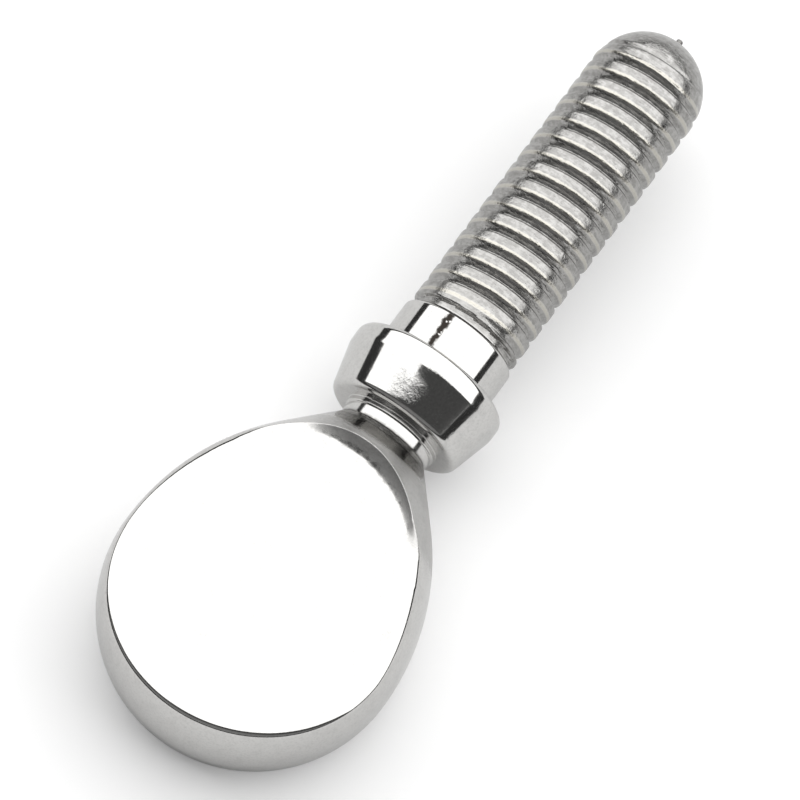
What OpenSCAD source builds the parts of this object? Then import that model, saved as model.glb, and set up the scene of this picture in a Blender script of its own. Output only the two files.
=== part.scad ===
// Saxophone neck screw: one turned and plated piece, lying as it comes to rest.
// The screw axis runs along +X toward the tip and rises a little; +Z is up; sizes in mm.

/* [Head] */
// Diameter of the turned ball that makes the far half of the head
ball_d = 9.9; // [8:0.1:14]
// Radius of the long flank arc that runs from the ball toward the neck
flank_r = 8.1; // [6.5:0.1:12]
// Angle of the shoulder cone to the screw axis
shoulder_angle = 41; // [35:1:50]
// Thickness left between the two thumb faces, at their lowest line
thumb_t = 3.2; // [2.4:0.1:4.4]
// Radius of the shallow hollow of a thumb face, along the axis
dish_r = 25; // [20:1:60]

/* [Neck and collar] */
// Diameter of the short neck between head and collar
neck_d = 3.2; // [2.6:0.05:4]
// Length of the neck
neck_len = 0.55; // [0.4:0.05:1.5]
// Height of the fine bead at the foot of the collar
bead_h = 0.06; // [0.03:0.01:0.12]
// Width of that bead along the axis
bead_w = 0.2; // [0.1:0.05:0.35]
// Largest diameter of the conical collar, on the thread side
collar_d = 5.4; // [4.8:0.05:7]
// Diameter of the collar on the neck side
collar_neck_d = 4.6; // [4.3:0.05:6]
// Length of the collar along the axis
collar_len = 2.2; // [1.6:0.05:4]
// Length of the straight band at the wide end of the collar
collar_band = 0.65; // [0.4:0.05:1]
// Rounding of the collar edges
collar_round = 0.25; // [0.1:0.05:0.4]

/* [Shank and thread] */
// Diameter of the plain shank under the collar
shank_d = 4; // [3.6:0.05:5]
// Length of the plain shank
shank_len = 1.5; // [1:0.1:4]
// Bevel on the end of the plain shank
shank_bevel = 0.12; // [0.05:0.01:0.2]
// Width of the relief turned between shank and thread
relief_w = 0.22; // [0.15:0.01:0.4]
// Outside diameter of the thread
thread_d = 3.86; // [3.4:0.02:4.6]
// Pitch of the right-hand thread
thread_pitch = 0.7; // [0.5:0.05:1]
// Length of the thread up to the domed end
thread_len = 10.2; // [6:0.1:20]
// Width of the crest left on the outside diameter, as a share of the pitch
crest_share = 0.46; // [0.12:0.01:0.5]
// Width of the bottom of the groove, as a share of the pitch
root_share = 0.08; // [0.06:0.01:0.25]
// Angle round the axis at which the groove starts, from the underside
groove_start = 180; // [0:5:355]
// Length of the domed end
dome_len = 1.7; // [1:0.05:2.2]
// Diameter of the small parting nib left on the end
nib_d = 0.26; // [0.15:0.01:0.5]
// Length of the nib
nib_len = 0.14; // [0.05:0.01:0.3]

/* [Hidden] */
$fn = 96;
plate_tone = [0.78, 0.77, 0.75];
eps = 0.01;

ball_r = ball_d / 2;
thumb_h = thumb_t / 2;
dish_z = thumb_h + dish_r;
neck_r = neck_d / 2;
collar_r = collar_d / 2;
collar_neck_r = collar_neck_d / 2;
shank_r = shank_d / 2;
thread_r = thread_d / 2;

// Stations along the axis, from the ball centre
flank_end_x = flank_r * sin(shoulder_angle);
flank_end_r = ball_r - flank_r * (1 - cos(shoulder_angle));
neck_x0 = flank_end_x + (flank_end_r - neck_r) / tan(shoulder_angle);
collar_x0 = neck_x0 + neck_len;
collar_x1 = collar_x0 + collar_len;
shank_x1 = collar_x1 + shank_len;
thread_x0 = shank_x1 + relief_w;
thread_x1 = thread_x0 + thread_len;
tip_x = thread_x1 + dome_len;

// Collar: start of the straight band, lean of the cone, and centres of the two edge roundings
band_x = collar_x1 - collar_band;
collar_lean = atan2(collar_r - collar_neck_r, band_x - collar_x0);
collar_c0 = [
  collar_neck_r + collar_round * (tan(collar_lean) - 1 / cos(collar_lean)),
  collar_x0 + collar_round
];
collar_c1 = [collar_r - collar_round, collar_x1 - collar_round];
collar_out = collar_round * [cos(collar_lean), -sin(collar_lean)];

// Dome: sphere through the foot of the thread groove and the tip
dome_step = 0.04;
dome_base_r = thread_r - dome_step;
dome_r = (pow(dome_base_r, 2) + pow(dome_len, 2)) / (2 * dome_len);

// Thread groove
groove_half = thread_pitch * (1 - crest_share) / 2;
root_half = thread_pitch * root_share / 2;
groove_depth = (groove_half - root_half) / tan(30);
root_r = thread_r - groove_depth;
relief_share = 0.6;
relief_r = thread_r - groove_depth * relief_share;
steps_per_turn = 20;
over = 0.08;
over_half = groove_half + over * tan(30);
run_turns = 0.25;
run_clear = 0.05;
start_share = 0.6;
groove_x0 = thread_x0 + groove_half * start_share;
dome_share = 0.55;
groove_turns = (thread_len + dome_len * dome_share) / thread_pitch;
groove_steps = floor(groove_turns * steps_per_turn);

// Pose at rest: the edge of the collar band and the far lower edge of the head touch the ground
far_z = (pow(ball_r, 2) - pow(dish_r, 2) + pow(dish_z, 2)) / (2 * dish_z);
far_x = -sqrt(pow(ball_r, 2) - pow(far_z, 2));
rest_tilt = atan2(collar_r - far_z, band_x - far_x);
rest_lift = far_z * cos(rest_tilt) - far_x * sin(rest_tilt);

// Middle of the length at rest, from the ball's far side to the end of the nib
nib_x = tip_x + nib_len;
long_end = nib_x * cos(rest_tilt) + nib_d / 2 * sin(rest_tilt);
mid_x = (long_end - ball_r) / 2;

// Point of the flank arc, by the angle of its slope
flank_steps = 12;
function flank_point(a) = [ball_r - flank_r * (1 - cos(a)), flank_r * sin(a)];

// Half section of the turned blank, radius across and axis up the page
module head_section() {
  intersection() {
    circle(r = ball_r);
    translate([0, -ball_r - eps]) square([ball_r + eps, ball_r + 2 * eps]);
  }
  polygon(concat(
    [[0, -eps], [ball_r - eps / 2, -eps]],
    [for (k = [0:flank_steps]) flank_point(shoulder_angle * k / flank_steps)],
    [[neck_r, neck_x0], [0, neck_x0]]
  ));
}

module neck_section() {
  translate([0, neck_x0 - eps]) square([neck_r, neck_len + 2 * eps]);
  translate([0, collar_x0 - bead_w]) square([neck_r + bead_h, bead_w + eps]);
}

module collar_section() {
  polygon([
    [0, collar_x0],
    [collar_c0[0], collar_x0],
    collar_c0 + collar_out,
    [collar_r, band_x],
    [collar_r, collar_c1[1]],
    [collar_c1[0], collar_x1],
    [0, collar_x1]
  ]);
  translate(collar_c0) circle(r = collar_round);
  translate(collar_c1) circle(r = collar_round);
}

module shank_section() {
  polygon([
    [0, collar_x1 - eps],
    [shank_r, collar_x1 - eps],
    [shank_r, shank_x1 - shank_bevel],
    [shank_r - shank_bevel, shank_x1],
    [0, shank_x1]
  ]);
}

module thread_section() {
  translate([0, shank_x1 - eps]) square([relief_r, relief_w + 2 * eps]);
  translate([0, thread_x0]) square([thread_r, thread_len]);
  intersection() {
    translate([0, tip_x - dome_r]) circle(r = dome_r);
    translate([0, thread_x1 - eps]) square([thread_r, dome_len + 2 * eps]);
  }
  translate([0, tip_x - nib_len]) square([nib_d / 2, 2 * nib_len]);
}

// Space taken off above one thumb face: a large cylinder that lies across the axis
module face_cut() {
  translate([0, ball_d, dish_z])
    rotate([90, 0, 0])
      cylinder(r = dish_r, h = 2 * ball_d, $fn = 256);
}

// Groove of the thread: one closed strip wound round the axis, shallow where it starts
function groove_fade(i) = min(1, i / (steps_per_turn * run_turns));
function groove_ring(i) =
  let (
    turn = groove_start + 360 * i / steps_per_turn,
    x = groove_x0 + thread_pitch * i / steps_per_turn,
    lift = (1 - groove_fade(i)) * (groove_depth + run_clear),
    outer = thread_r + over + lift,
    inner = root_r + lift
  )
  [for (q = [[outer, -over_half], [inner, -root_half], [inner, root_half], [outer, over_half]])
    [q[0] * cos(turn), q[0] * sin(turn), x + q[1]]];

module groove() {
  pts = [for (i = [0:groove_steps]) each groove_ring(i)];
  sides = [for (i = [0:groove_steps - 1]) for (k = [0:3])
    let (a = 4 * i + k, b = 4 * i + (k + 1) % 4, c = a + 4, d = b + 4)
    each [[a, d, b], [a, c, d]]];
  e = 4 * groove_steps;
  caps = [[0, 1, 2], [0, 2, 3], [e, e + 2, e + 1], [e, e + 3, e + 2]];
  polyhedron(points = pts, faces = concat(sides, caps), convexity = 20);
}

module blank() {
  rotate_extrude($fn = 128) {
    head_section();
    neck_section();
    collar_section();
    shank_section();
    thread_section();
  }
}

module neck_screw() {
  color(plate_tone)
    translate([-mid_x, 0, rest_lift])
      rotate([0, -rest_tilt, 0])
        difference() {
          rotate([0, 90, 0])
            difference() {
              blank();
              groove();
            }
          face_cut();
          rotate([180, 0, 0]) face_cut();
        }
}

neck_screw();
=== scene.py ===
"""Looks of the saxophone neck screw: plated metal, studio floor, sky and camera."""

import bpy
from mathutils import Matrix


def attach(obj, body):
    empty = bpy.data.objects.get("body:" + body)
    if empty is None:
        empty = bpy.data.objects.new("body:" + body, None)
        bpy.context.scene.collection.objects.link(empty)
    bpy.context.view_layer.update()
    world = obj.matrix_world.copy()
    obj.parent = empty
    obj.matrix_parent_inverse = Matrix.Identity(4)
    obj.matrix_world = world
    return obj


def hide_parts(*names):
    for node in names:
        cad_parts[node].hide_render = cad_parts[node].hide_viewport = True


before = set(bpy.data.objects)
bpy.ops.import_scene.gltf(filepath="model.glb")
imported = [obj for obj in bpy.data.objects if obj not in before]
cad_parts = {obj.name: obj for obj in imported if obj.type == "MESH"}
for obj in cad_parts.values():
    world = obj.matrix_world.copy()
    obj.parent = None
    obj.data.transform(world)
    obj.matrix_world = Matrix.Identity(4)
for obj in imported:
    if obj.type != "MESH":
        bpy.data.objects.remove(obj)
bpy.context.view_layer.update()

import math

import bpy
import numpy as np
from bpy.props import (
    FloatProperty,
    FloatVectorProperty,
    IntProperty,
    PointerProperty,
)
from mathutils import Matrix, Vector

bl_info = {
    "name": "Saxophone neck screw",
    "version": (1, 0, 0),
    "blender": (4, 5, 0),
    "location": "3D View > Sidebar > Neck screw",
    "description": "Builds a nickel-plated saxophone neck screw and a plain studio round it",
    "category": "Add Mesh",
}


# Settings


def length(name, text, default):
    """Length setting, in metres."""
    return FloatProperty(
        name=name, description=text, default=default, unit="LENGTH", precision=5
    )


def turn(name, text, degrees):
    """Angle setting, given here in degrees."""
    return FloatProperty(
        name=name,
        description=text,
        default=math.radians(degrees),
        subtype="ANGLE",
        unit="ROTATION",
    )


def share(name, text, default):
    """Setting from nothing to all."""
    return FloatProperty(
        name=name, description=text, default=default, min=0.0, max=1.0, subtype="FACTOR"
    )


def amount(name, text, default):
    """Setting that is never below zero."""
    return FloatProperty(
        name=name, description=text, default=default, min=0.0, subtype="UNSIGNED"
    )


def colour(name, text, default):
    """Colour setting."""
    return FloatVectorProperty(
        name=name,
        description=text,
        default=default,
        min=0.0,
        max=1.0,
        size=3,
        subtype="COLOR",
    )


class NECKSCREW_PG_shape(bpy.types.PropertyGroup):
    """Sizes of the screw, the same as in the part's source"""

    ball_d: length("Head diameter", "Diameter of the ball of the head", 0.0099)
    flank_r: length("Flank radius", "Arc from the ball to the shoulder", 0.0081)
    shoulder_angle: turn("Shoulder angle", "Shoulder cone to the axis", 41)
    thumb_t: length("Thumb thickness", "Least thickness between the faces", 0.0032)
    dish_r: length("Dish radius", "Hollow of a thumb face along the axis", 0.025)
    end_r: length("Hollow end radius", "Plan radius where the hollow turns up", 0.00396)
    end_x: length("Hollow end centre", "Centre of that radius, along the axis", 0.00152)
    end_y: length("Hollow end offset", "Centre of that radius, across the axis", 0.00032)
    side_y: length("Shallow side start", "Where the right side of a face turns shallow", 0.0012)
    side_rise: amount("Shallow side rise", "How fast it turns shallow, per millimetre", 0.09)
    end_rise: amount("Hollow end rise", "How fast the hollow turns up, per millimetre", 0.6)
    edge_round: length("Edge rounding", "Softness of the face edges", 0.0002)
    edge_soft: length("Buffed edge", "Softness of the face edges toward the neck", 0.0005)
    edge_worn: length("Worn edge", "Softness of that edge on the right-hand side", 0.0007)
    neck_d: length("Neck diameter", "Short neck under the head", 0.0032)
    neck_len: length("Neck length", "Short neck under the head", 0.00055)
    bead_h: length("Bead height", "Fine bead at the collar's foot", 0.00006)
    bead_w: length("Bead width", "Fine bead at the collar's foot", 0.0002)
    collar_d: length("Collar diameter", "Wide end of the collar", 0.0054)
    collar_neck_d: length("Collar small diameter", "Neck end of the collar", 0.0046)
    collar_len: length("Collar length", "Along the axis", 0.0022)
    collar_band: length("Collar band", "Straight band at the wide end", 0.00065)
    collar_round: length("Collar rounding", "Rounding of the collar edges", 0.00025)
    shank_d: length("Shank diameter", "Plain shank under the collar", 0.004)
    shank_len: length("Shank length", "Plain shank under the collar", 0.0015)
    shank_bevel: length("Shank bevel", "Bevel at the shank's end", 0.00012)
    relief_w: length("Relief width", "Relief between shank and thread", 0.00022)
    thread_d: length("Thread diameter", "Outside of the thread", 0.00386)
    pitch: length("Thread pitch", "Advance in one turn", 0.0007)
    thread_len: length("Thread length", "Up to the domed end", 0.0102)
    crest_share: share("Crest share", "Crest width as a share of the pitch", 0.46)
    root_share: share("Root share", "Root width as a share of the pitch", 0.08)
    flank_angle: turn("Flank angle", "Worn flank on the head's side, from square", 43)
    back_angle: turn("Back flank angle", "Flank on the tip's side, from square", 24)
    crest_round: length("Crest rounding", "Softness of the thread's edges", 0.00007)
    dome_len: length("Dome length", "Domed end", 0.0017)
    nib_d: length("Nib diameter", "Parting nib on the end", 0.00026)
    nib_len: length("Nib length", "Parting nib on the end", 0.00014)
    nib_burr: length("Nib burr", "Burr that the nib stands out by", 0.00007)
    around: IntProperty(
        name="Steps around", description="Sides of the turned parts", default=192, min=48
    )


class NECKSCREW_PG_plate(bpy.types.PropertyGroup):
    """Colour, wear, and painted shade and highlight of the nickel plate"""

    tint: colour("Plate colour", "Colour of the polished nickel", (0.62, 0.614, 0.60))
    thread_tint: colour("Thread dirt", "Dull places in the thread", (0.285, 0.28, 0.27))
    dirt_tint: colour("Dirt", "Dirt at the neck and on the shank", (0.028, 0.024, 0.021))
    crest_tint: colour("Worn crest", "Worn edge of the crest", (0.52, 0.50, 0.45))
    roughness: share("Roughness", "Blur of the polished plate", 0.07)
    thread_blur: share("Thread blur", "Extra roughness on the thread", 0.06)
    flecks: share("Flecks", "Strength of the fine dull flecks", 0.42)
    collar_grain: amount("Collar grain", "Height of its uneven patches, in micrometres", 14.0)
    thread_grain: amount("Thread grain", "Height of its unevenness, in micrometres", 6.0)
    grain: amount("Grain", "Height of the fine unevenness, in micrometres", 0.30)
    rings: amount("Turning marks", "Height of the turning marks, in micrometres", 1.5)
    scratches: amount("Scratches", "Height of the hairlines, in micrometres", 0.15)


class NECKSCREW_PG_studio(bpy.types.PropertyGroup):
    """Light, floor and camera"""

    sky: amount("Sky level", "Brightness of the white tent", 1.95)
    skyline: amount("Skyline level", "Brightness of the dark skyline", 0.04)
    skyline_top: turn("Skyline height", "Height of the dark skyline", 13)
    opening: amount("Opening level", "Brightness of the tent's opening", 0.08)
    opening_far: amount("Far opening level", "Brightness of the opening lower down", 0.25)
    floor: colour("Floor colour", "Colour of the plain floor", (0.80, 0.80, 0.80))
    lean: turn("Camera lean", "Screw axis, tip away from the camera", 17)
    roll: turn("Camera roll", "Turn of the upper face to the right", 9.2)
    slant: turn("Camera slant", "Screw axis in the picture, from level", 53.3)
    shift_right: length("Shift right", "Picture's middle from the ball", 0.004503)
    shift_up: length("Shift up", "Picture's middle from the ball", 0.006593)
    distance: length("Camera distance", "From the middle of the picture", 0.32)
    frame_w: length("Frame width", "Width shown in the picture", 0.024845)


# Shape, in millimetres from the ball's centre

PLAIN_KEYS = (
    "shoulder_angle",
    "end_rise",
    "side_rise",
    "crest_share",
    "root_share",
    "flank_angle",
    "back_angle",
    "around",
)
STANDARD_FLANK = math.radians(30)
DOME_STEP = 0.04
RELIEF_SHARE = 0.6
START_SHARE = 0.6
FINE_STATIONS = 400

# Where the worn forms of a thumb face begin, and how far they take to come in
END_FROM, END_RUN = 3.0, 1.5
LEFT_END, LEFT_RUN = 1.9, 1.5
SIDE_FROM, SIDE_RUN = -0.5, 5.0
BUFFED_FROM, BUFFED_RUN = 0.5, 2.5
BUFFED_TO, BUFFED_FADE = 4.6, 0.8
WORN_RUN = 1.5
CRISP_FROM, CRISP_RUN, CRISP_SHARE = 4.2, 0.6, 0.9


def lens_meet(ball_r, dish_r, lift):
    """Distance from the axis plane's normal at which ball and dish circles cross."""
    height = (ball_r**2 - dish_r**2 + lift**2) / (2 * lift)
    return math.sqrt(ball_r**2 - height**2)


class Screw:
    """Sizes in millimetres along the screw axis, measured from the ball's centre."""

    def __init__(self, p):
        for key in p.__annotations__:
            value = getattr(p, key)
            setattr(self, key, value if key in PLAIN_KEYS else value * 1000)
        self.ball_r = self.ball_d / 2
        self.half_t = self.thumb_t / 2
        self.neck_r = self.neck_d / 2
        self.collar_r = self.collar_d / 2
        self.shank_r = self.shank_d / 2
        self.thread_r = self.thread_d / 2
        slope = self.shoulder_angle
        self.flank_x = self.flank_r * math.sin(slope)
        self.flank_end_r = self.ball_r - self.flank_r * (1 - math.cos(slope))
        self.neck_x = self.flank_x + (self.flank_end_r - self.neck_r) / math.tan(slope)
        self.collar_x0 = self.neck_x + self.neck_len
        self.collar_x1 = self.collar_x0 + self.collar_len
        self.band_x = self.collar_x1 - self.collar_band
        self.shank_x1 = self.collar_x1 + self.shank_len
        self.thread_x0 = self.shank_x1 + self.relief_w
        self.thread_x1 = self.thread_x0 + self.thread_len
        self.tip_x = self.thread_x1 + self.dome_len
        base = self.thread_r - DOME_STEP
        self.dome_r = (base**2 + self.dome_len**2) / (2 * self.dome_len)
        self.groove_half = self.pitch * (1 - self.crest_share) / 2
        self.root_half = self.pitch * self.root_share / 2
        flank_w = self.groove_half - self.root_half
        self.worn_depth = flank_w / math.tan(self.flank_angle)
        self.relief_r = self.thread_r - RELIEF_SHARE * flank_w / math.tan(STANDARD_FLANK)
        self.groove_x0 = self.thread_x0 + START_SHARE * self.groove_half
        lift = self.half_t + self.dish_r
        self.far_x = -lens_meet(self.ball_r, self.dish_r, lift)
        self.far_z = math.sqrt(self.ball_r**2 - self.far_x**2)
        stations = np.linspace(self.flank_x, self.neck_x, FINE_STATIONS)
        cone = self.flank_end_r - (stations - self.flank_x) * math.tan(slope)
        apart = np.abs(cone - face_height(self, stations))
        self.near_x = float(stations[np.argmin(apart)])
        self.tilt = math.atan2(self.collar_r - self.far_z, self.band_x - self.far_x)
        self.lift = self.far_z * math.cos(self.tilt) - self.far_x * math.sin(self.tilt)
        nib_end = self.tip_x + self.nib_len
        end = nib_end * math.cos(self.tilt) + self.nib_d / 2 * math.sin(self.tilt)
        self.mid = (end - self.ball_r) / 2

    def placed(self):
        """Matrix from the screw's own millimetres to the row frame in metres."""
        return (
            Matrix.Scale(0.001, 4)
            @ Matrix.Translation((-self.mid, 0, self.lift))
            @ Matrix.Rotation(-self.tilt, 4, "Y")
        )


def smooth(t):
    """Smooth step from 0 to 1."""
    t = np.clip(t, 0, 1)
    return t * t * (3 - 2 * t)


def smax(a, b, k):
    """The larger of two, with the corner between them rounded over a width of k."""
    h = np.maximum(k - np.abs(a - b), 0) / k
    return np.maximum(a, b) + h * h * k / 4


def smin(a, b, k):
    """The smaller of two, with the corner rounded."""
    return -smax(-a, -b, k)


def blank_radius(d, x):
    """Radius of the turned head blank at station x."""
    ball = np.sqrt(np.maximum(d.ball_r**2 - x**2, 0))
    flank = d.ball_r - d.flank_r + np.sqrt(np.maximum(d.flank_r**2 - x**2, 0))
    cone = d.flank_end_r - (x - d.flank_x) * math.tan(d.shoulder_angle)
    return np.where(x < 0, ball, np.where(x < d.flank_x, flank, cone))


def face_height(d, x):
    """Height of a dished thumb face above the screw axis."""
    return d.half_t + d.dish_r - np.sqrt(d.dish_r**2 - x**2)


def end_lift(d, x, y):
    """Extra height of a face where its hollow turns up, toward the neck and the right."""
    beyond = np.maximum(np.hypot(x - d.end_x, y - d.end_y) - d.end_r, 0)
    near = np.clip((x - END_FROM) / END_RUN, 0, 1)
    right = smooth((LEFT_END - y) / LEFT_RUN)
    crescent = d.end_rise * beyond**2 * near * right
    aside = np.maximum(-y - d.side_y, 0)
    return crescent + d.side_rise * aside**2 * smooth((x - SIDE_FROM) / SIDE_RUN)


def head_field(d, x, y, z):
    """Below zero inside the head, about the distance from its skin outside."""
    rho = np.hypot(y, z)
    ball = np.hypot(x, rho) - d.ball_r
    flank = np.hypot(x, rho + d.flank_r - d.ball_r) - d.flank_r
    cone_r = d.flank_end_r - (x - d.flank_x) * math.tan(d.shoulder_angle)
    cone = (rho - cone_r) * math.cos(d.shoulder_angle)
    blank = np.where(x < 0, ball, np.where(x < d.flank_x, flank, cone))
    up = np.abs(z) - face_height(d, x) - end_lift(d, x, y)
    buffed = np.clip((x - BUFFED_FROM) / BUFFED_RUN, 0, 1)
    buffed = buffed * np.clip((BUFFED_TO - x) / BUFFED_FADE, 0, 1)
    worn = d.edge_soft + (d.edge_worn - d.edge_soft) * np.clip(-y / WORN_RUN, 0, 1)
    crisp = d.edge_round * (1 - CRISP_SHARE * np.clip((x - CRISP_FROM) / CRISP_RUN, 0, 1))
    soft = crisp + (worn - crisp) * buffed
    return smax(blank, up, soft)


def field_normals(d, pts, step=1e-4):
    """Outward directions of the head's skin, from differences of its field."""
    grad = np.empty_like(pts)
    for axis in range(3):
        lo, hi = pts.copy(), pts.copy()
        lo[:, axis] -= step
        hi[:, axis] += step
        grad[:, axis] = head_field(d, *hi.T) - head_field(d, *lo.T)
    return grad / np.maximum(np.linalg.norm(grad, axis=1, keepdims=True), 1e-12)


def past(start, end, count):
    """Even steps from start to end, without the start."""
    return np.linspace(start, end, count)[1:]


def head_rows(d):
    """Stations of the head's rings, close together where edges run across the axis."""
    edge = math.degrees(math.asin(d.far_z / d.ball_r))
    before, at, after, end = edge - 4, edge - 1, edge + 4, edge + 14
    polar = np.concatenate(
        [past(0, before, 10), past(before, at, 9), past(at, after, 17), past(after, end, 10)]
    )
    ball = -d.ball_r * np.cos(np.radians(polar))
    widest = 1.2
    crescent, shoulder = d.near_x - 0.5, d.near_x + 0.6
    foot = d.neck_x - 0.02
    parts = [
        ball,
        past(ball[-1], widest, 34),
        past(widest, crescent, 46),
        past(crescent, shoulder, 40),
        past(shoulder, foot, 8),
    ]
    return np.concatenate(parts)


def head_shell(d):
    """Rings of points round the head: rim by height, thumb faces by their breadth."""
    seam_drop, seam_share = 0.4, 0.72
    bend_least, bend_most = 0.3, 0.985
    edge_passes, halvings = 6, 44
    face_columns, rim_columns = 61, 15
    even_share, rim_power = 0.35, 1.6
    x = head_rows(d)
    radius = blank_radius(d, x)
    height = face_height(d, x)
    z_seam = np.minimum(height - seam_drop, seam_share * radius)
    y_seam = np.sqrt(radius**2 - z_seam**2)
    bends = []
    for way in (1, -1):
        y_edge = np.sqrt(np.maximum(radius**2 - height**2, 0))
        for _ in range(edge_passes):
            lifted = height + end_lift(d, x, way * y_edge)
            y_edge = np.sqrt(np.maximum(radius**2 - lifted**2, 0))
        bends.append(np.clip(y_edge, bend_least * y_seam, bend_most * y_seam)[:, None])
    u = np.linspace(1, -1, face_columns)
    spread = even_share * u + (1 - even_share) * np.sin(u * math.pi / 2)
    inner = np.where(u > 0, bends[0], bends[1]) * spread
    v = np.linspace(1, 0, rim_columns)[:-1] ** rim_power
    outer = [bend + (y_seam[:, None] - bend) * v for bend in bends]
    y_top = np.concatenate([outer[0], inner, -outer[1][:, ::-1]], axis=1)
    x_top = np.repeat(x[:, None], y_top.shape[1], axis=1)
    low, high = np.zeros_like(y_top), np.full_like(y_top, d.ball_r * 1.05)
    for _ in range(halvings):
        middle = (low + high) / 2
        inside = head_field(d, x_top, y_top, middle) < 0
        low, high = np.where(inside, middle, low), np.where(inside, high, middle)
    z_top = (low + high) / 2
    w = np.linspace(0, 1, rim_columns)[:-1]
    z_rim = z_seam[:, None] * w
    y_rim = np.sqrt(np.maximum(radius[:, None] ** 2 - z_rim**2, 0))
    y_up = np.concatenate([y_rim, y_top, -y_rim[:, ::-1]], axis=1)
    z_up = np.concatenate([z_rim, z_top, z_rim[:, ::-1]], axis=1)
    y = np.concatenate([y_up, y_up[:, -2:0:-1]], axis=1)
    z = np.concatenate([z_up, -z_up[:, -2:0:-1]], axis=1)
    pts = np.stack([np.repeat(x[:, None], y.shape[1], axis=1), y, z], axis=-1)
    rows, cols = y.shape
    flat = pts.reshape(-1, 3)
    normals = field_normals(d, flat)
    faces = ring_faces(rows, cols)
    pole = len(flat)
    faces += [(pole, (j + 1) % cols, j) for j in range(cols)]
    flat = np.vstack([flat, [[-d.ball_r, 0, 0]]])
    normals = np.vstack([normals, [[-1, 0, 0]]])
    return flat, normals, faces


def ring_faces(rows, cols):
    """Quads between closed rings of points."""
    faces = []
    for i in range(rows - 1):
        a, b = i * cols, (i + 1) * cols
        for j in range(cols):
            k = (j + 1) % cols
            faces.append((a + j, a + k, b + k, b + j))
    return faces


def filleted(corners, steps=6):
    """Profile through (x, r, rounding) corners, with the skin's normal at each point."""
    cut_most = 0.49
    pts = np.array([c[:2] for c in corners], float)
    xs, ns = [], []
    along = np.diff(pts, axis=0)
    size = np.linalg.norm(along, axis=1)
    along = along / size[:, None]
    normal = np.stack([-along[:, 1], along[:, 0]], axis=1)
    xs.append(pts[0])
    ns.append(normal[0])
    for i in range(1, len(pts) - 1):
        a, b, na, nb = along[i - 1], along[i], normal[i - 1], normal[i]
        bend = math.atan2(a[0] * b[1] - a[1] * b[0], float(a @ b))
        radius = corners[i][2]
        cut = radius * math.tan(abs(bend) / 2)
        cut = min(cut, cut_most * size[i - 1], cut_most * size[i])
        radius = cut / math.tan(abs(bend) / 2)
        side = 1.0 if bend < 0 else -1.0
        centre = pts[i] - a * cut - na * radius * side
        start = math.atan2(na[1], na[0])
        for k in range(steps + 1):
            angle = start + bend * k / steps
            n = np.array([math.cos(angle), math.sin(angle)])
            xs.append(centre + n * radius * side)
            ns.append(n)
    xs.append(pts[-1])
    ns.append(normal[-1])
    return np.array(xs), np.array(ns)


def lathe(profile, normal, cols):
    """Profile turned round the screw axis."""
    phi = np.linspace(0, 2 * math.pi, cols, endpoint=False)
    c, s = np.cos(phi), np.sin(phi)
    x = np.repeat(profile[:, :1], cols, axis=1)
    pts = np.stack([x, profile[:, 1:] * c, profile[:, 1:] * s], axis=-1)
    nx = np.repeat(normal[:, :1], cols, axis=1)
    nrm = np.stack([nx, normal[:, 1:] * c, normal[:, 1:] * s], axis=-1)
    return pts.reshape(-1, 3), nrm.reshape(-1, 3), ring_faces(len(profile), cols)


def collar_shell(d):
    """Neck, bead, collar and plain shank, turned in one profile."""
    lap, gap, bead_rise = 0.12, 0.02, 0.03
    neck_round, bead_foot, bead_top, bead_end = 0.08, 0.02, 0.04, 0.03
    cone_round, seat_round, bevel_round, bevel_edge = 0.8, 0.05, 0.1, 0.06
    shoulder = d.neck_r + lap * math.tan(d.shoulder_angle)
    bead_x = d.collar_x0 - d.bead_w
    bead_r = d.neck_r + d.bead_h
    bevel_r = d.shank_r - d.shank_bevel
    corners = [
        (d.neck_x - lap, shoulder, 0),
        (d.neck_x, d.neck_r, neck_round),
        (bead_x, d.neck_r, bead_foot),
        (bead_x + bead_rise, bead_r, bead_top),
        (d.collar_x0, bead_r, bead_end),
        (d.collar_x0, d.collar_neck_d / 2, d.collar_round),
        (d.band_x, d.collar_r, cone_round),
        (d.collar_x1, d.collar_r, d.collar_round),
        (d.collar_x1, d.shank_r, seat_round),
        (d.shank_x1 - d.shank_bevel, d.shank_r, bevel_round),
        (d.shank_x1, bevel_r, bevel_edge),
        (d.shank_x1, d.relief_r, seat_round),
        (d.thread_x0 - gap, d.relief_r, 0),
    ]
    return lathe(*filleted(corners), d.around)


def thread_radius(d, x, phi):
    """Radius of the thread, relief and dome at station x and angle phi."""
    run_in, start_slope = 0.25, 2.2
    dome_blend, start_blend = 0.08, 0.06
    lead = (phi - math.pi / 2) / (2 * math.pi)
    turns = (x - d.groove_x0) / d.pitch - lead
    nearest = np.round(turns)
    off = (turns - nearest) * d.pitch
    fade = np.clip((nearest + lead) / run_in, 0, 1)
    back_half = d.root_half + d.worn_depth * math.tan(d.back_angle)
    front = (d.groove_half - off) / math.tan(d.flank_angle)
    flank = np.minimum(front, (back_half + off) / math.tan(d.back_angle))
    depth = smin(smax(flank, 0.0, d.crest_round), d.worn_depth, d.crest_round)
    depth = np.maximum(depth, 0) * fade
    start = d.relief_r + np.maximum(x - d.thread_x0, 0) * start_slope
    along = np.maximum(x, d.thread_x1) - d.tip_x + d.dome_r
    dome = np.sqrt(np.maximum(d.dome_r**2 - along**2, 0))
    dome = dome + np.maximum(d.thread_x1 - x, 0)
    radius = smin(d.thread_r - depth, dome, dome_blend)
    return np.where(x <= d.thread_x0, d.relief_r, smin(radius, start, start_blend))


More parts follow.
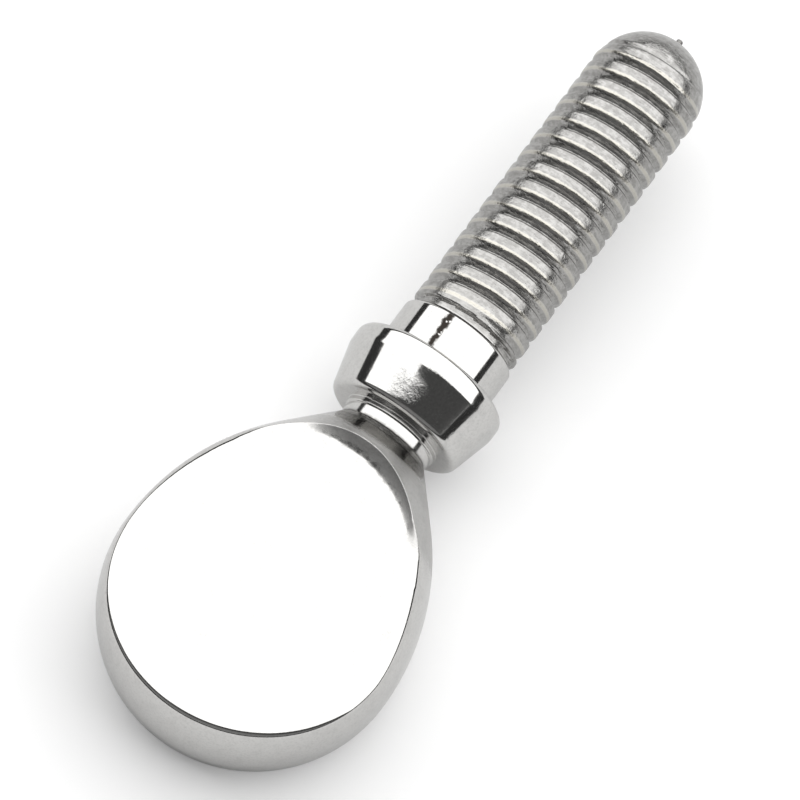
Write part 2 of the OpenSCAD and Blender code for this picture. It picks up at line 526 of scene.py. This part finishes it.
def thread_shell(d, cols=128, per_turn=16):
    """Rows follow the helix, so each one keeps its place on the thread's profile."""
    lap, dome_cut, spare, e = 0.06, 0.62, 2, 1e-3
    lo = d.thread_x0 - lap
    hi = d.thread_x1 + dome_cut * d.dome_len
    first = math.floor((lo - d.groove_x0) / d.pitch) - spare
    last = math.ceil((hi - d.groove_x0) / d.pitch) + spare
    rows = (last - first) * per_turn
    i, j = np.meshgrid(np.arange(rows + per_turn), np.arange(cols), indexing="ij")
    phi = 2 * math.pi * j / cols + math.pi / 2
    lead = j / cols
    x = d.groove_x0 + d.pitch * (first + i / per_turn + lead)
    x = np.clip(x, lo, hi)
    rho = thread_radius(d, x, phi)
    pts = np.stack([x, rho * np.cos(phi), rho * np.sin(phi)], axis=-1)
    slope_x = (thread_radius(d, x + e, phi) - thread_radius(d, x - e, phi)) / (2 * e)
    slope_p = thread_radius(d, x, phi + e) - thread_radius(d, x, phi - e)
    slope_p = slope_p / (2 * e * rho)
    c, s = np.cos(phi), np.sin(phi)
    nrm = np.stack([-slope_x, c + slope_p * s, s - slope_p * c], axis=-1)
    nrm /= np.linalg.norm(nrm, axis=-1, keepdims=True)
    faces = []
    clipped = (x <= lo) | (x >= hi)
    for a in range(rows - 1):
        for b in range(cols):
            quad = [(a, b), (a, b + 1), (a + 1, b + 1), (a + 1, b)]
            if b + 1 == cols:
                quad[1:3] = [(a + per_turn, 0), (a + per_turn + 1, 0)]
            if not all(clipped[corner] for corner in quad):
                faces.append(tuple(row * cols + col for row, col in quad))
    return pts.reshape(-1, 3), nrm.reshape(-1, 3), faces


def dome_shell(d):
    """Cap of the domed end with the parting nib."""
    dome_cut, foot_share, tip_share, centre_r = 0.60, 1.6, 0.8, 0.004
    foot_lift, foot_round, tip_round = 0.01, 0.04, 0.07
    rings, columns, round_steps = 22, 96, 4
    start = d.thread_x1 + dome_cut * d.dome_len
    centre = d.tip_x - d.dome_r
    nib_r = d.nib_d / 2
    first = math.acos((start - centre) / d.dome_r)
    last = math.asin(nib_r * foot_share / d.dome_r)
    angle = np.linspace(first, last, rings)
    n = np.stack([np.cos(angle), np.sin(angle)], axis=1)
    cap = np.array([centre, 0]) + n * d.dome_r
    foot = centre + math.sqrt(d.dome_r**2 - nib_r**2)
    tip = d.tip_x + d.nib_len + d.nib_burr
    nib, nib_n = filleted(
        [
            (cap[-1, 0], cap[-1, 1], 0),
            (foot + foot_lift, nib_r, foot_round),
            (tip, nib_r * tip_share, tip_round),
            (tip, centre_r, 0),
        ],
        round_steps,
    )
    return lathe(np.vstack([cap, nib[1:]]), np.vstack([n, nib_n[1:]]), columns)


def screw_mesh(d, name):
    """One mesh of all the shells, in the row frame."""
    points, normals, faces, base = [], [], [], 0
    for shell in (head_shell(d), collar_shell(d), thread_shell(d), dome_shell(d)):
        pts, nrm, fcs = shell
        used = np.unique(np.concatenate([np.array(f) for f in fcs]))
        index = np.full(len(pts), -1)
        index[used] = np.arange(len(used)) + base
        points.append(pts[used])
        normals.append(nrm[used])
        faces += [tuple(int(index[v]) for v in f) for f in fcs]
        base += len(used)
    m = np.array(d.placed())
    pts = np.vstack(points) @ m[:3, :3].T + m[:3, 3]
    nrm = np.vstack(normals) @ (m[:3, :3] * 1000).T
    mesh = bpy.data.meshes.new(name)
    mesh.from_pydata(pts.tolist(), [], faces)
    mesh.polygons.foreach_set("use_smooth", [True] * len(mesh.polygons))
    mesh.normals_split_custom_set_from_vertices(nrm.tolist())
    mesh.update()
    return mesh


# Materials


def new_group(name, inputs, outputs):
    """Node group with its sockets; each input is a label, a kind and a default."""
    group = bpy.data.node_groups.new(name, "ShaderNodeTree")
    for label, kind, value in inputs:
        socket = group.interface.new_socket(label, in_out="INPUT", socket_type=kind)
        if value is not None:
            socket.default_value = value
    for label, kind in outputs:
        group.interface.new_socket(label, in_out="OUTPUT", socket_type=kind)
    ins = group.nodes.new("NodeGroupInput")
    outs = group.nodes.new("NodeGroupOutput")
    return group, ins, outs


def calc(tree, operation, *values):
    """Math node; each value is a number or a socket."""
    node = tree.nodes.new("ShaderNodeMath")
    node.operation = operation
    for k, value in enumerate(values):
        if isinstance(value, (int, float)):
            node.inputs[k].default_value = value
        else:
            tree.links.new(value, node.inputs[k])
    return node.outputs[0]


def product(tree, first, *others):
    """Product of sockets and numbers."""
    for other in others:
        first = calc(tree, "MULTIPLY", first, other)
    return first


def ramp(tree, value, lo, hi, to_lo=0.0, to_hi=1.0):
    """Smooth step from to_lo at lo to to_hi at hi."""
    node = tree.nodes.new("ShaderNodeMapRange")
    node.interpolation_type = "SMOOTHSTEP"
    tree.links.new(value, node.inputs["Value"])
    node.inputs["From Min"].default_value = lo
    node.inputs["From Max"].default_value = hi
    node.inputs["To Min"].default_value = to_lo
    node.inputs["To Max"].default_value = to_hi
    return node.outputs["Result"]


def blend(tree, factor, first, second):
    """Colour between two, each a socket or three numbers."""
    node = tree.nodes.new("ShaderNodeMix")
    node.data_type = "RGBA"
    tree.links.new(factor, node.inputs["Factor"])
    for label, colour in (("A", first), ("B", second)):
        if isinstance(colour, tuple):
            node.inputs[label].default_value = (*colour, 1)
        else:
            tree.links.new(colour, node.inputs[label])
    return node.outputs["Result"]


def noise(tree, vector, scale, detail=2.0, rough=0.5):
    """Noise between 0 and 1; scale is in features to the millimetre on the screw."""
    node = tree.nodes.new("ShaderNodeTexNoise")
    tree.links.new(vector, node.inputs["Vector"])
    node.inputs["Scale"].default_value = scale
    node.inputs["Detail"].default_value = detail
    node.inputs["Roughness"].default_value = rough
    return node.outputs["Fac"]


def mapped(tree, vector, scale):
    """Vector stretched along each axis."""
    node = tree.nodes.new("ShaderNodeMapping")
    node.vector_type = "POINT"
    tree.links.new(vector, node.inputs["Vector"])
    node.inputs["Scale"].default_value = scale
    return node.outputs["Vector"]


def screw_place_group(d):
    """Places on the screw in millimetres: along the axis and across it."""
    group, _, outs = new_group(
        "Place on the screw",
        [],
        [
            ("Place", "NodeSocketVector"),
            ("Along", "NodeSocketFloat"),
            ("Radius", "NodeSocketFloat"),
            ("Angle", "NodeSocketFloat"),
        ],
    )
    coords = group.nodes.new("ShaderNodeTexCoord")
    back = group.nodes.new("ShaderNodeMapping")
    back.vector_type = "TEXTURE"
    back.inputs["Location"].default_value = (-d.mid * 0.001, 0, d.lift * 0.001)
    back.inputs["Rotation"].default_value = (0, -d.tilt, 0)
    back.inputs["Scale"].default_value = (0.001, 0.001, 0.001)
    group.links.new(coords.outputs["Object"], back.inputs["Vector"])
    split = group.nodes.new("ShaderNodeSeparateXYZ")
    group.links.new(back.outputs["Vector"], split.inputs[0])
    across = calc(group, "MULTIPLY", split.outputs["Y"], split.outputs["Y"])
    across = calc(group, "MULTIPLY_ADD", split.outputs["Z"], split.outputs["Z"], across)
    group.links.new(back.outputs["Vector"], outs.inputs["Place"])
    group.links.new(split.outputs["X"], outs.inputs["Along"])
    group.links.new(calc(group, "SQRT", across), outs.inputs["Radius"])
    angle = calc(group, "ARCTAN2", split.outputs["Z"], split.outputs["Y"])
    group.links.new(angle, outs.inputs["Angle"])
    return group


def ring_lines(group, along, radius, scale, detail):
    """Noise that runs in rings round the axis, on cylinders and cones alike."""
    merge = group.nodes.new("ShaderNodeCombineXYZ")
    group.links.new(calc(group, "SUBTRACT", along, radius), merge.inputs["X"])
    return noise(group, merge.outputs[0], scale=scale, detail=detail, rough=0.7)


def plate_grain_group():
    """Height of the plate's fine unevenness and hairlines, in micrometres."""
    hair_stretch, wide_height = (1.2, 26.0, 26.0), 1.6
    fleck_range, hair_range, dull_range = (0.42, 0.70), (0.60, 0.72), (0.45, 0.75)
    group, ins, outs = new_group(
        "Plate grain",
        [
            ("Place", "NodeSocketVector", None),
            ("Grain", "NodeSocketFloat", 0.3),
            ("Scratches", "NodeSocketFloat", 0.15),
        ],
        [
            ("Height", "NodeSocketFloat"),
            ("Dull", "NodeSocketFloat"),
            ("Fleck", "NodeSocketFloat"),
        ],
    )
    place = ins.outputs["Place"]
    flecks = noise(group, place, scale=12.0, detail=4.0, rough=0.75)
    fine = noise(group, place, scale=7.0, detail=3.0, rough=0.6)
    wide = noise(group, place, scale=1.1)
    patch = noise(group, place, scale=2.3)
    hair = noise(group, mapped(group, place, hair_stretch), scale=1.0)
    hair = ramp(group, hair, *hair_range)
    height = calc(group, "MULTIPLY", fine, ins.outputs["Grain"])
    height = calc(group, "MULTIPLY_ADD", wide, wide_height, height)
    height = calc(group, "MULTIPLY_ADD", hair, ins.outputs["Scratches"], height)
    group.links.new(height, outs.inputs["Height"])
    group.links.new(ramp(group, patch, *dull_range), outs.inputs["Dull"])
    group.links.new(ramp(group, flecks, *fleck_range), outs.inputs["Fleck"])
    return group


def turning_group(d):
    """Height of the turning marks on shoulder, neck and collar, in micrometres."""
    shoulder_x = (5.5, 5.9)
    collar_x = (d.collar_x0 + 0.05, d.collar_x0 + 0.3)
    collar_share = 0.12
    group, ins, outs = new_group(
        "Turning marks",
        [
            ("Along", "NodeSocketFloat", 0.0),
            ("Radius", "NodeSocketFloat", 0.0),
            ("Rings", "NodeSocketFloat", 0.5),
        ],
        [("Height", "NodeSocketFloat"), ("Mask", "NodeSocketFloat")],
    )
    along = ins.outputs["Along"]
    lines = ring_lines(group, along, ins.outputs["Radius"], scale=9.0, detail=4.0)
    mask = product(
        group,
        ramp(group, along, *shoulder_x),
        ramp(group, along, *collar_x, 1.0, collar_share),
    )
    height = product(group, lines, mask, ins.outputs["Rings"])
    group.links.new(height, outs.inputs["Height"])
    group.links.new(mask, outs.inputs["Mask"])
    return group


def collar_marks_group(d):
    """Uneven patches of the collar, dirt at the neck, painted shade on the nib, a stain on the
    shank.
    """
    r = math.radians
    collar_start = (d.collar_x0 + 0.1, d.collar_x0 + 0.3)
    collar_end = (d.collar_x1 - 0.3, d.collar_x1)
    uneven_from, uneven_to, uneven_rest = (r(72), r(86)), (r(98), r(112)), 0.25
    patch_range, line_range, speck_range = (0.30, 0.55), (0.42, 0.58), (0.52, 0.66)
    line_least, speck_least = 0.15, 0.3
    dirt_x, dirt_share = (6.2, 6.38), 0.82
    film_x, film_share = (5.4, 5.8), 0.18
    neck_x = (d.neck_x, d.neck_x + 0.15)
    nib_x, nib_shade_share = (d.tip_x - 0.02, d.tip_x + 0.03), 0.6
    stain_at, stain_wobble, stain_width = r(81), 0.16, (0.03, 0.08)
    stain_start = (d.collar_x1, d.collar_x1 + 0.2)
    stain_end = (d.shank_x1 - 0.15, d.shank_x1)
    broken_range = (0.33, 0.42)
    group, ins, outs = new_group(
        "Collar marks",
        [
            ("Place", "NodeSocketVector", None),
            ("Along", "NodeSocketFloat", 0.0),
            ("Radius", "NodeSocketFloat", 0.0),
            ("Angle", "NodeSocketFloat", 0.0),
        ],
        [
            ("Height", "NodeSocketFloat"),
            ("Dirt", "NodeSocketFloat"),
            ("Stain", "NodeSocketFloat"),
        ],
    )
    place, along, angle = (ins.outputs[label] for label in ("Place", "Along", "Angle"))

    patches = ramp(group, noise(group, place, scale=0.9, detail=1.0), *patch_range)
    height = product(
        group,
        noise(group, place, scale=3.6, detail=5.0, rough=0.7),
        patches,
        ramp(group, along, *collar_start),
        ramp(group, along, *collar_end, 1, 0),
        ramp(group, angle, *uneven_from),
        ramp(group, angle, *uneven_to, 1, uneven_rest),
    )
    group.links.new(height, outs.inputs["Height"])

    lines = ring_lines(group, along, ins.outputs["Radius"], scale=9.0, detail=3.0)
    lines = ramp(group, lines, *line_range, line_least, 1)
    close = calc(
        group,
        "ADD",
        ramp(group, along, *dirt_x, 0, dirt_share),
        ramp(group, along, *film_x, 0, film_share),
    )
    specks = noise(group, place, scale=5.0, detail=4.0, rough=0.7)
    close = product(
        group,
        close,
        ramp(group, specks, *speck_range, 1, speck_least),
        ramp(group, along, *neck_x, 1, 0),
    )
    # Painted shade: the nib's colour is darkened so that it stands out dark
    nib = ramp(group, along, *nib_x, 0, nib_shade_share)
    group.links.new(calc(group, "MULTIPLY_ADD", lines, close, nib), outs.inputs["Dirt"])

    wobble = noise(group, place, scale=3.0, detail=3.0, rough=0.6)
    wobble = calc(group, "SUBTRACT", wobble, 0.5)
    across = calc(group, "MULTIPLY_ADD", wobble, stain_wobble, angle)
    across = calc(group, "ABSOLUTE", calc(group, "SUBTRACT", across, stain_at))
    broken = noise(group, place, scale=6.0, detail=3.0, rough=0.7)
    stain = product(
        group,
        ramp(group, across, *stain_width, 1, 0),
        ramp(group, broken, *broken_range),
        ramp(group, along, *stain_start),
        ramp(group, along, *stain_end, 1, 0),
    )
    group.links.new(stain, outs.inputs["Stain"])
    return group


def hollow_end_group(d):
    """Where the hollow of a thumb face turns up: left less polished, and darkened in colour as
    painted shade.
    """
    ragged_by = 0.35
    reach_range = (d.end_r - 0.05, d.end_r + 0.25)
    near_x, shoulder_x, left_y = (3.6, 4.4), (6.1, 6.3), (1.2, 2.2)
    group, ins, outs = new_group(
        "Hollow end",
        [("Place", "NodeSocketVector", None)],
        [("Mask", "NodeSocketFloat")],
    )
    place = ins.outputs["Place"]
    split = group.nodes.new("ShaderNodeSeparateXYZ")
    group.links.new(place, split.inputs[0])
    x, y, _ = split.outputs
    ahead = calc(group, "SUBTRACT", x, d.end_x)
    aside = calc(group, "SUBTRACT", y, d.end_y)
    reach = calc(group, "MULTIPLY", ahead, ahead)
    reach = calc(group, "SQRT", calc(group, "MULTIPLY_ADD", aside, aside, reach))
    ragged = noise(group, place, scale=4.0, detail=3.0, rough=0.6)
    ragged = calc(group, "SUBTRACT", ragged, 0.5)
    reach = calc(group, "MULTIPLY_ADD", ragged, ragged_by, reach)
    # This mask raises the roughness and darkens the colour as painted shade
    mask = product(
        group,
        ramp(group, reach, *reach_range),
        ramp(group, x, *near_x),
        ramp(group, y, *left_y, 1, 0),
        ramp(group, x, *shoulder_x, 1, 0),
    )
    group.links.new(mask, outs.inputs["Mask"])
    return group


def thread_wear_group(d):
    """Where the thread is, its streaks, and the worn edge of its crest, brightened in colour as
    a painted highlight.
    """
    streak_stretch, streak_range = (11.0, 2.6, 2.6), (0.36, 0.62)
    wobble, wobble_middle, whole_turns = 0.10, 0.05, 10
    crest = 0.5 - d.crest_share / 2
    edge_start, edge_end = (crest - 0.05, crest + 0.02), (crest + 0.10, crest + 0.20)
    thread_x = (d.shank_x1, d.shank_x1 + 0.1)
    dome_x = (d.thread_x1, d.thread_x1 + 0.3)
    group, ins, outs = new_group(
        "Thread wear",
        [
            ("Place", "NodeSocketVector", None),
            ("Along", "NodeSocketFloat", 0.0),
            ("Angle", "NodeSocketFloat", 0.0),
        ],
        [
            ("Mask", "NodeSocketFloat"),
            ("Streak", "NodeSocketFloat"),
            ("Edge", "NodeSocketFloat"),
        ],
    )
    place, along = ins.outputs["Place"], ins.outputs["Along"]
    stretched = mapped(group, place, streak_stretch)
    streak = noise(group, stretched, scale=1.0, detail=3.0, rough=0.65)
    spots = noise(group, place, scale=5.0, detail=3.0, rough=0.6)
    streak = calc(group, "MULTIPLY_ADD", spots, 0.5, calc(group, "MULTIPLY", streak, 0.5))
    quarter = 0.25 - d.groove_x0 / d.pitch
    turns = calc(group, "MULTIPLY_ADD", along, 1 / d.pitch, quarter)
    turns = calc(group, "MULTIPLY_ADD", ins.outputs["Angle"], -0.5 / math.pi, turns)
    turns = calc(group, "ADD", turns, whole_turns - wobble_middle)
    phase = calc(group, "FRACT", calc(group, "MULTIPLY_ADD", spots, wobble, turns))
    # Band along the crest's edge that takes the painted highlight colour, partly worn edge
    edge = product(
        group,
        ramp(group, phase, *edge_start),
        ramp(group, phase, *edge_end, 1, 0),
        ramp(group, along, *dome_x, 1, 0),
    )
    group.links.new(ramp(group, along, *thread_x), outs.inputs["Mask"])
    group.links.new(ramp(group, streak, *streak_range), outs.inputs["Streak"])
    group.links.new(edge, outs.inputs["Edge"])
    return group


def use_group(tree, group, source=None, labels=()):
    """Node of a group, with inputs linked to the outputs of the same names."""
    node = tree.nodes.new("ShaderNodeGroup")
    node.node_tree = group
    for label in labels:
        tree.links.new(source.outputs[label], node.inputs[label])
    return node


def plate_material(d, look):
    """Polished nickel plate with wear, dirt and turning marks, and painted shade and highlight
    on the thread, hollow ends and nib.
    """
    micrometre = 1e-6
    dull_blur, ring_blur, streak_blur, hollow_blur = 0.04, 0.05, 0.12, 0.30
    dull_shade, fleck_shade, hollow_painted_shade = 0.93, 0.6, 0.4
    streak_share, plain_share = 0.4, 0.6
    hollow_shade_share, dirt_share = 0.28, 0.75
    material = bpy.data.materials.new("Nickel plate")
    material.use_nodes = True
    tree = material.node_tree
    shader = tree.nodes["Principled BSDF"]
    place = use_group(tree, screw_place_group(d))
    grain = use_group(tree, plate_grain_group(), place, ("Place",))
    grain.inputs["Grain"].default_value = look.grain
    grain.inputs["Scratches"].default_value = look.scratches
    rings = use_group(tree, turning_group(d), place, ("Along", "Radius"))
    rings.inputs["Rings"].default_value = look.rings
    wear = use_group(tree, thread_wear_group(d), place, ("Place", "Along", "Angle"))
    hollow = use_group(tree, hollow_end_group(d), place, ("Place",))
    every = ("Place", "Along", "Radius", "Angle")
    marks = use_group(tree, collar_marks_group(d), place, every)

    streaks = product(tree, wear.outputs["Mask"], wear.outputs["Streak"])
    height = calc(tree, "ADD", grain.outputs["Height"], rings.outputs["Height"])
    height = calc(tree, "MULTIPLY_ADD", streaks, look.thread_grain, height)
    height = calc(tree, "MULTIPLY_ADD", marks.outputs["Height"], look.collar_grain, height)
    bump = tree.nodes.new("ShaderNodeBump")
    bump.inputs["Strength"].default_value = 1.0
    bump.inputs["Distance"].default_value = micrometre
    tree.links.new(height, bump.inputs["Height"])
    tree.links.new(bump.outputs["Normal"], shader.inputs["Normal"])

    blur = calc(tree, "MULTIPLY_ADD", grain.outputs["Dull"], dull_blur, look.roughness)
    for mask, strength in (
        (rings.outputs["Mask"], ring_blur),
        (wear.outputs["Mask"], look.thread_blur),
        (streaks, streak_blur),
        (hollow.outputs["Mask"], hollow_blur),
    ):
        blur = calc(tree, "MULTIPLY_ADD", mask, strength, blur)
    tree.links.new(blur, shader.inputs["Roughness"])

    kept = calc(tree, "SUBTRACT", 1.0, wear.outputs["Edge"])
    # How much painted shade the thread gets, more in the streaks
    dull = calc(tree, "MULTIPLY_ADD", wear.outputs["Streak"], streak_share, plain_share)
    tone = tuple(look.tint)
    for mask, second in (
        (grain.outputs["Dull"], shaded(look.tint, dull_shade)),
        # Painted shade: the thread's colour is darkened all over, unevenly in streaks
        (product(tree, dull, wear.outputs["Mask"], kept), tuple(look.thread_tint)),
        # Painted highlight: the crest edge is brightened in colour along every turn, partly as
        # wear
        (product(tree, wear.outputs["Edge"], wear.outputs["Mask"]), tuple(look.crest_tint)),
        (product(tree, grain.outputs["Fleck"], look.flecks), shaded(look.tint, fleck_shade)),
        # Painted shade: the turned-up hollow end of each thumb face is darkened in colour
        (product(tree, hollow.outputs["Mask"], hollow_shade_share), shaded(look.tint, hollow_painted_shade)),
        # Neck dirt, and the painted shade of the nib
        (product(tree, marks.outputs["Dirt"], dirt_share), tuple(look.dirt_tint)),
        (marks.outputs["Stain"], tuple(look.dirt_tint)),
    ):
        tone = blend(tree, mask, tone, second)
    tree.links.new(tone, shader.inputs["Base Color"])
    shader.inputs["Metallic"].default_value = 1.0
    return material


def shaded(tint, factor):
    """Darker form of a colour."""
    return tuple(part * factor for part in tint)


def floor_material(colour_of_floor):
    """Plain matt floor that is white to the camera and keeps the shadow."""
    camera_fill = 0.2
    material = bpy.data.materials.new("Studio floor")
    material.use_nodes = True
    tree = material.node_tree
    shader = tree.nodes["Principled BSDF"]
    shader.inputs["Base Color"].default_value = (*colour_of_floor, 1)
    shader.inputs["Roughness"].default_value = 1.0
    shader.inputs["Specular IOR Level"].default_value = 0.0
    path = tree.nodes.new("ShaderNodeLightPath")
    shader.inputs["Emission Color"].default_value = (1, 1, 1, 1)
    fill = calc(tree, "MULTIPLY", path.outputs["Is Camera Ray"], camera_fill)
    tree.links.new(fill, shader.inputs["Emission Strength"])
    return material


def studio_sky(look):
    """White tent with a dark skyline and a dark opening on the camera's side."""
    r = math.radians
    soft = 0.012
    uneven_back, uneven_side = 0.05, 0.20
    lower_side, lower_by = (r(-6), r(15)), r(6)
    rise_back, rise_by, rise_side = (r(4), r(14)), r(5), (r(-40), r(-20))
    near_edge, far_edge = (r(11.5), r(13.5)), (r(94), r(98))
    left_edge, right_edge = (r(-12), r(-8)), (r(82), r(86))
    wider_back, wider_by = (r(15), r(24)), r(78)
    level_back = (r(28), r(50))
    world = bpy.data.worlds.new("White tent")
    bpy.context.scene.world = world
    world.use_nodes = True
    tree = world.node_tree
    shader = tree.nodes["Background"]
    coords = tree.nodes.new("ShaderNodeTexCoord")
    split = tree.nodes.new("ShaderNodeSeparateXYZ")
    tree.links.new(coords.outputs["Generated"], split.inputs[0])
    x, y, z = split.outputs

    # Angles of a direction: above the floor, toward the head, and to the right
    height = calc(tree, "ARCSINE", z)
    back = calc(tree, "ARCTAN2", calc(tree, "MULTIPLY", x, -1.0), z)
    side = calc(tree, "ARCTAN2", calc(tree, "MULTIPLY", y, -1.0), z)
    uneven = noise(tree, coords.outputs["Generated"], scale=7.0, detail=4.0, rough=0.65)
    uneven = calc(tree, "SUBTRACT", uneven, 0.5)
    back = calc(tree, "MULTIPLY_ADD", uneven, uneven_back, back)
    side = calc(tree, "MULTIPLY_ADD", uneven, uneven_side, side)
    back = calc(tree, "ADD", back, ramp(tree, side, *lower_side, 0, lower_by))

    rise = product(
        tree,
        ramp(tree, back, *rise_back, 0, rise_by),
        ramp(tree, side, *rise_side, 1, 0),
    )
    top = look.skyline_top
    above = ramp(tree, calc(tree, "SUBTRACT", height, rise), top - soft, top + soft)
    wider = calc(tree, "ADD", side, ramp(tree, back, *wider_back, 0, wider_by))
    gap = product(
        tree,
        ramp(tree, back, *near_edge),
        ramp(tree, back, *far_edge, 1, 0),
        ramp(tree, wider, *left_edge),
        ramp(tree, side, *right_edge, 1, 0),
        above,
    )
    light = calc(tree, "MULTIPLY_ADD", above, look.sky - look.skyline, look.skyline)
    level = ramp(tree, back, *level_back, look.opening, look.opening_far)
    drop = calc(tree, "SUBTRACT", level, light)
    light = calc(tree, "MULTIPLY_ADD", gap, drop, light)

    # The camera itself sees plain white
    seen = tree.nodes.new("ShaderNodeLightPath").outputs["Is Camera Ray"]
    to_white = calc(tree, "SUBTRACT", 1.0, light)
    light = calc(tree, "MULTIPLY_ADD", seen, to_white, light)
    tree.links.new(light, shader.inputs["Strength"])
    shader.inputs["Color"].default_value = (1, 1, 1, 1)
    return world


# Operators


class NECKSCREW_OT_screw(bpy.types.Operator):
    """Build the plated neck screw over its construction model"""

    bl_idname = "neckscrew.screw"
    bl_label = "Build neck screw"

    def execute(self, context):
        d = Screw(context.scene.neck_screw_shape)
        mesh = screw_mesh(d, "plated_screw")
        if not mesh.polygons:
            raise RuntimeError("the screw has no faces")
        piece = bpy.data.objects.new("plated_screw", mesh)
        context.scene.collection.objects.link(piece)
        mesh.materials.append(plate_material(d, context.scene.neck_screw_plate))
        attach(piece, "root")
        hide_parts("neck_screw")
        return {"FINISHED"}


class NECKSCREW_OT_studio(bpy.types.Operator):
    """Build the floor, the white tent and the camera"""

    bl_idname = "neckscrew.studio"
    bl_label = "Build studio"
    floor_half = 0.6
    sensor_w = 36.0

    def execute(self, context):
        look = context.scene.neck_screw_studio
        d = Screw(context.scene.neck_screw_shape)
        half = self.floor_half
        mesh = bpy.data.meshes.new("Studio floor")
        corners = [(-half, -half), (half, -half), (half, half), (-half, half)]
        mesh.from_pydata([(x, y, 0) for x, y in corners], [], [(0, 1, 2, 3)])
        floor = bpy.data.objects.new("Studio floor", mesh)
        context.scene.collection.objects.link(floor)
        mesh.materials.append(floor_material(tuple(look.floor)))
        studio_sky(look)
        self.camera(context, look, d)
        context.scene.view_settings.view_transform = "Standard"
        return {"FINISHED"}

    def camera(self, context, look, d):
        """Camera at the photograph's viewing angle, aimed from the ball of the head."""
        data = bpy.data.cameras.new("Camera")
        cam = bpy.data.objects.new("Camera", data)
        context.scene.collection.objects.link(cam)
        context.scene.camera = cam
        lean, roll, slant = look.lean, look.roll, look.slant
        axis = Vector((math.cos(d.tilt), 0, math.sin(d.tilt)))
        face = Vector((-math.sin(d.tilt), 0, math.cos(d.tilt)))
        side = Vector((0, -1, 0))
        away = -math.sin(lean) * axis + math.cos(lean) * (
            math.sin(roll) * side + math.cos(roll) * face
        )
        along = (axis + math.sin(lean) * away) / math.cos(lean)
        across = along.cross(away)
        right = math.cos(slant) * along + math.sin(slant) * across
        up = math.sin(slant) * along - math.cos(slant) * across
        ball = d.placed() @ Vector((0, 0, 0))
        target = ball + look.shift_right * right + look.shift_up * up
        turned = Matrix((right, up, away)).transposed().to_4x4()
        cam.matrix_world = Matrix.Translation(target + away * look.distance) @ turned
        data.sensor_width = self.sensor_w
        data.lens = self.sensor_w * look.distance / look.frame_w
        data.clip_start, data.clip_end = 0.01, 10.0


class NECKSCREW_PT_panel(bpy.types.Panel):
    """Settings and build buttons of the neck screw"""

    bl_label = "Neck screw"
    bl_idname = "NECKSCREW_PT_panel"
    bl_space_type = "VIEW_3D"
    bl_region_type = "UI"
    bl_category = "Neck screw"

    def draw(self, context):
        scene = context.scene
        for group in (
            scene.neck_screw_shape,
            scene.neck_screw_plate,
            scene.neck_screw_studio,
        ):
            column = self.layout.column(align=True)
            for key in group.__annotations__:
                column.prop(group, key)
        self.layout.operator(NECKSCREW_OT_screw.bl_idname)
        self.layout.operator(NECKSCREW_OT_studio.bl_idname)


CLASSES = (
    NECKSCREW_PG_shape,
    NECKSCREW_PG_plate,
    NECKSCREW_PG_studio,
    NECKSCREW_OT_screw,
    NECKSCREW_OT_studio,
    NECKSCREW_PT_panel,
)


def register():
    for cls in CLASSES:
        bpy.utils.register_class(cls)
    bpy.types.Scene.neck_screw_shape = PointerProperty(type=NECKSCREW_PG_shape)
    bpy.types.Scene.neck_screw_plate = PointerProperty(type=NECKSCREW_PG_plate)
    bpy.types.Scene.neck_screw_studio = PointerProperty(type=NECKSCREW_PG_studio)


def unregister():
    del bpy.types.Scene.neck_screw_studio
    del bpy.types.Scene.neck_screw_plate
    del bpy.types.Scene.neck_screw_shape
    for cls in reversed(CLASSES):
        bpy.utils.unregister_class(cls)


def main():
    register()
    bpy.ops.neckscrew.screw()
    bpy.ops.neckscrew.studio()


if __name__ == "__main__":
    main()
